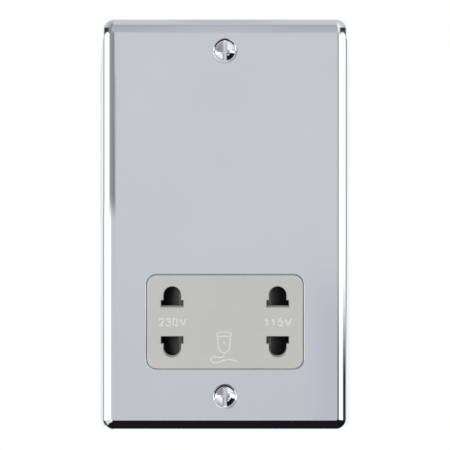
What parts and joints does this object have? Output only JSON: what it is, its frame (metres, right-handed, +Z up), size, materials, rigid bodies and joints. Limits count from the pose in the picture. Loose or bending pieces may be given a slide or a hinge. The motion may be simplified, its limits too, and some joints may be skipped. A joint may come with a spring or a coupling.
{
  "type": "dual-voltage shaver socket",
  "caption": "Flush wall socket for shavers: tall chromed plate with a rounded edge, slotted screws, a grey insert with shuttered pin apertures, and a transformer housing behind.",
  "frame": {"origin": "on the wall's surface, midway between the two fixing screws", "axes": "X to the right as seen from the room, +Y into the wall, +Z up"},
  "size_m": [0.088, 0.0454, 0.147],
  "materials": {
    "chrome_plate": "bright chrome plating on pressed steel",
    "chrome_screw": "bright chrome plating",
    "grey_plastic": "satin moulded grey",
    "black_plastic": "satin moulded black",
    "housing_plastic": "fine grained moulded black",
    "zinc_steel": "zinc plated",
    "spring_steel": "drawn wire",
    "contact_brass": "rolled strip",
    "terminal_brass": "machined",
    "core_steel": "stacked laminations, varnished",
    "copper_wire": "enamelled copper",
    "bobbin_nylon": "natural nylon",
    "coil_tape": "polyester tape",
    "cutout_body": "moulded",
    "lead_brown": "insulated lead",
    "lead_blue": "insulated lead",
    "lead_black": "insulated lead",
    "lead_red": "insulated lead"
  },
  "bodies": {
    "socket": {"front_plate": "chrome_plate", "socket_insert": "grey_plastic", "fixing_screws": "chrome_screw", "shutter_spring_left": "spring_steel", "shutter_spring_right": "spring_steel", "contact_carrier": "black_plastic", "contact_230": "contact_brass", "contact_115": "contact_brass", "contact_common": "contact_brass", "front_housing": "housing_plastic", "plate_nuts": "zinc_steel", "rear_cover": "housing_plastic", "cover_screws": "zinc_steel", "terminal_cover": "housing_plastic", "terminal_cover_screws": "zinc_steel", "terminal_line": "terminal_brass", "terminal_neutral": "terminal_brass", "terminal_screws": "zinc_steel", "earth_terminal": "terminal_brass", "earth_screw": "zinc_steel", "transformer_core": "core_steel", "coil_bobbin": "bobbin_nylon", "primary_winding": "copper_wire", "secondary_winding": "copper_wire", "primary_tape": "coil_tape", "secondary_tape": "coil_tape", "coil_pins": "zinc_steel", "switch_blade": "contact_brass", "switch_contact": "contact_brass", "thermal_cutout": "cutout_body", "lead_line": "lead_brown", "lead_switch": "lead_brown", "lead_primary": "lead_brown", "lead_neutral": "lead_blue", "lead_230": "lead_red", "lead_115": "lead_red", "lead_common": "lead_black"},
    "shutter": {"shutter_slide": "black_plastic"}
  },
  "joints": [
    {"name": "shutter_travel", "type": "slide", "parent": "socket", "child": "shutter", "axis": [1, 0, 0], "range_m": [-0.0078, 0.0078], "stiffness_N_per_m": 100, "deforming": ["shutter_spring_left", "shutter_spring_right", "switch_blade"]}
  ]
}
